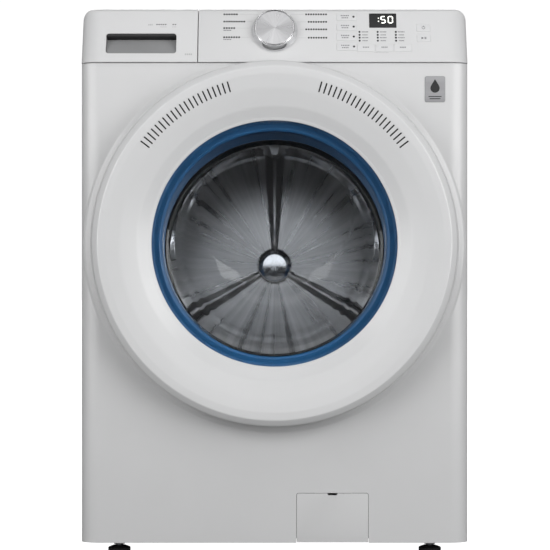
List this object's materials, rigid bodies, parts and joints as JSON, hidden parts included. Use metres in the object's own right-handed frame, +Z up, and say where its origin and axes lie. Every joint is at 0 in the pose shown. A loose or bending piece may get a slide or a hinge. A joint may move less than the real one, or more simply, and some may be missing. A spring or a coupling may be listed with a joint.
{
  "type": "front load washing machine",
  "caption": "Free-standing front load washing machine with a hinged bowl door, tilted belt-driven drum on a sprung tub, detergent drawer, selector knob, keys and filter hatch.",
  "frame": {"origin": "on the floor under the middle of the machine's overall box", "axes": "+Z up, -Y towards the user in front of the door, +X to the user's right as they face the door"},
  "size_m": [0.711, 0.813, 1.01],
  "materials": {
    "silver_paint": "satin metallic",
    "silver_plastic": "satin metallic",
    "galvanised": "spangled zinc",
    "dark_plastic": "matte",
    "grey_plastic": "matte",
    "white_plastic": "satin",
    "stainless": "brushed",
    "chrome": "polished",
    "cast_metal": "as cast",
    "steel": "plain",
    "black_rubber": "matte",
    "blue_rubber": "satin",
    "cast_iron": "rough",
    "glass": "clear",
    "circuit_board": "matte",
    "key_plastic": "satin"
  },
  "bodies": {
    "cabinet": {"side_panel_left": "silver_paint", "side_panel_right": "silver_paint", "rear_panel": "galvanised", "top_panel": "silver_paint", "base_frame": "dark_plastic", "front_panel": "silver_paint", "console_fascia": "silver_plastic", "display_window": "dark_plastic", "control_board": "circuit_board", "dispenser_housing": "white_plastic", "water_inlet_valve": "white_plastic", "power_cord_gland": "black_rubber", "door_lock": "dark_plastic", "door_hinge_bracket": "steel", "drain_pump": "white_plastic", "damper_cylinder_left": "dark_plastic", "damper_cylinder_right": "dark_plastic", "boot_gasket": "blue_rubber", "suspension_spring_left": "steel", "suspension_spring_right": "steel"},
    "tub": {"outer_tub_front": "grey_plastic", "outer_tub_rear": "grey_plastic", "front_counterweight": "cast_iron", "drive_motor": "cast_metal", "shaft_bearing": "steel", "damper_rod_left": "steel", "damper_rod_right": "steel", "drive_belt": "black_rubber"},
    "drum": {"drum_shell": "stainless", "drum_lifter_1": "stainless", "drum_lifter_2": "stainless", "drum_lifter_3": "stainless", "drum_spider": "cast_metal", "hub_cap": "chrome", "drum_pulley": "cast_metal"},
    "motor_rotor": {"motor_pulley": "steel"},
    "door": {"door_outer_ring": "silver_plastic", "door_inner_ring": "grey_plastic", "door_glass": "glass", "door_hinge_leaf": "steel", "door_strike": "chrome"},
    "drawer": {"drawer_front": "silver_plastic", "drawer_tray": "white_plastic"},
    "knob": {"knob_body": "chrome", "knob_cap": "stainless"},
    "hatch": {"filter_hatch": "silver_paint"},
    "filter": {"pump_filter": "grey_plastic"},
    "option_key_1_cap": {"option_key_1": "key_plastic"},
    "option_key_2_cap": {"option_key_2": "key_plastic"},
    "option_key_3_cap": {"option_key_3": "key_plastic"},
    "option_key_4_cap": {"option_key_4": "key_plastic"},
    "setting_key_1_cap": {"setting_key_1": "key_plastic"},
    "setting_key_2_cap": {"setting_key_2": "key_plastic"},
    "setting_key_3_cap": {"setting_key_3": "key_plastic"},
    "power_key_cap": {"power_key": "key_plastic"},
    "start_key_cap": {"start_key": "key_plastic"},
    "levelling_front_left": {"foot_front_left": "black_rubber"},
    "levelling_front_right": {"foot_front_right": "black_rubber"},
    "levelling_rear_left": {"foot_rear_left": "black_rubber"},
    "levelling_rear_right": {"foot_rear_right": "black_rubber"}
  },
  "joints": [
    {"name": "tub_suspension", "type": "slide", "parent": "cabinet", "child": "tub", "axis": [0, 0, 1], "range_m": [-0.012, 0.012], "stiffness_N_per_m": 30000, "springref_m": 0.0161, "deforming": ["suspension_spring_left", "suspension_spring_right", "boot_gasket"]},
    {"name": "drum_spin", "type": "hinge", "parent": "tub", "child": "drum", "pos_m": [0, 0.1736, 0.53592], "axis": [0, 0.9973, -0.0732], "continuous": true},
    {"name": "motor_spin", "type": "hinge", "parent": "tub", "child": "motor_rotor", "pos_m": [0, 0.27306, 0.14258], "axis": [0, 0.9973, -0.0732], "continuous": true},
    {"name": "door_swing", "type": "hinge", "parent": "cabinet", "child": "door", "pos_m": [-0.31, -0.385, 0.574], "axis": [0, 0, -1], "range_deg": [0, 105]},
    {"name": "drawer_slide", "type": "slide", "parent": "cabinet", "child": "drawer", "axis": [0, -1, 0], "range_m": [0, 0.22]},
    {"name": "knob_turn", "type": "hinge", "parent": "cabinet", "child": "knob", "pos_m": [0, -0.32811, 0.96664], "axis": [0, -0.9397, 0.342], "continuous": true},
    {"name": "hatch_swing", "type": "hinge", "parent": "cabinet", "child": "hatch", "pos_m": [0.1061, -0.345, 0.028], "axis": [1, 0, 0], "range_deg": [0, 85]},
    {"name": "filter_turn", "type": "hinge", "parent": "cabinet", "child": "filter", "pos_m": [0.106, -0.2855, 0.08], "axis": [0, -1, 0], "range_deg": [0, 120]},
    {"name": "option_key_1_press", "type": "slide", "parent": "cabinet", "child": "option_key_1_cap", "axis": [0, 0.9397, -0.342], "range_m": [0, 0.0012], "stiffness_N_per_m": 300, "springref_m": -0.003},
    {"name": "option_key_2_press", "type": "slide", "parent": "cabinet", "child": "option_key_2_cap", "axis": [0, 0.9397, -0.342], "range_m": [0, 0.0012], "stiffness_N_per_m": 300, "springref_m": -0.003},
    {"name": "option_key_3_press", "type": "slide", "parent": "cabinet", "child": "option_key_3_cap", "axis": [0, 0.9397, -0.342], "range_m": [0, 0.0012], "stiffness_N_per_m": 300, "springref_m": -0.003},
    {"name": "option_key_4_press", "type": "slide", "parent": "cabinet", "child": "option_key_4_cap", "axis": [0, 0.9397, -0.342], "range_m": [0, 0.0012], "stiffness_N_per_m": 300, "springref_m": -0.003},
    {"name": "setting_key_1_press", "type": "slide", "parent": "cabinet", "child": "setting_key_1_cap", "axis": [0, 0.9397, -0.342], "range_m": [0, 0.0012], "stiffness_N_per_m": 300, "springref_m": -0.003},
    {"name": "setting_key_2_press", "type": "slide", "parent": "cabinet", "child": "setting_key_2_cap", "axis": [0, 0.9397, -0.342], "range_m": [0, 0.0012], "stiffness_N_per_m": 300, "springref_m": -0.003},
    {"name": "setting_key_3_press", "type": "slide", "parent": "cabinet", "child": "setting_key_3_cap", "axis": [0, 0.9397, -0.342], "range_m": [0, 0.0012], "stiffness_N_per_m": 300, "springref_m": -0.003},
    {"name": "power_key_press", "type": "slide", "parent": "cabinet", "child": "power_key_cap", "axis": [0, 0.9397, -0.342], "range_m": [0, 0.0012], "stiffness_N_per_m": 300, "springref_m": -0.003},
    {"name": "start_key_press", "type": "slide", "parent": "cabinet", "child": "start_key_cap", "axis": [0, 0.9397, -0.342], "range_m": [0, 0.0012], "stiffness_N_per_m": 300, "springref_m": -0.003},
    {"name": "foot_front_left_turn", "type": "hinge", "parent": "cabinet", "child": "levelling_front_left", "pos_m": [-0.29, -0.285, 0], "axis": [0, 0, 1], "continuous": true},
    {"name": "foot_front_right_turn", "type": "hinge", "parent": "cabinet", "child": "levelling_front_right", "pos_m": [0.29, -0.285, 0], "axis": [0, 0, 1], "continuous": true},
    {"name": "foot_rear_left_turn", "type": "hinge", "parent": "cabinet", "child": "levelling_rear_left", "pos_m": [-0.29, 0.285, 0], "axis": [0, 0, 1], "continuous": true},
    {"name": "foot_rear_right_turn", "type": "hinge", "parent": "cabinet", "child": "levelling_rear_right", "pos_m": [0.29, 0.285, 0], "axis": [0, 0, 1], "continuous": true}
  ],
  "couplings": [
    {"joint": "motor_spin", "follows": "drum_spin", "ratio": 12}
  ]
}
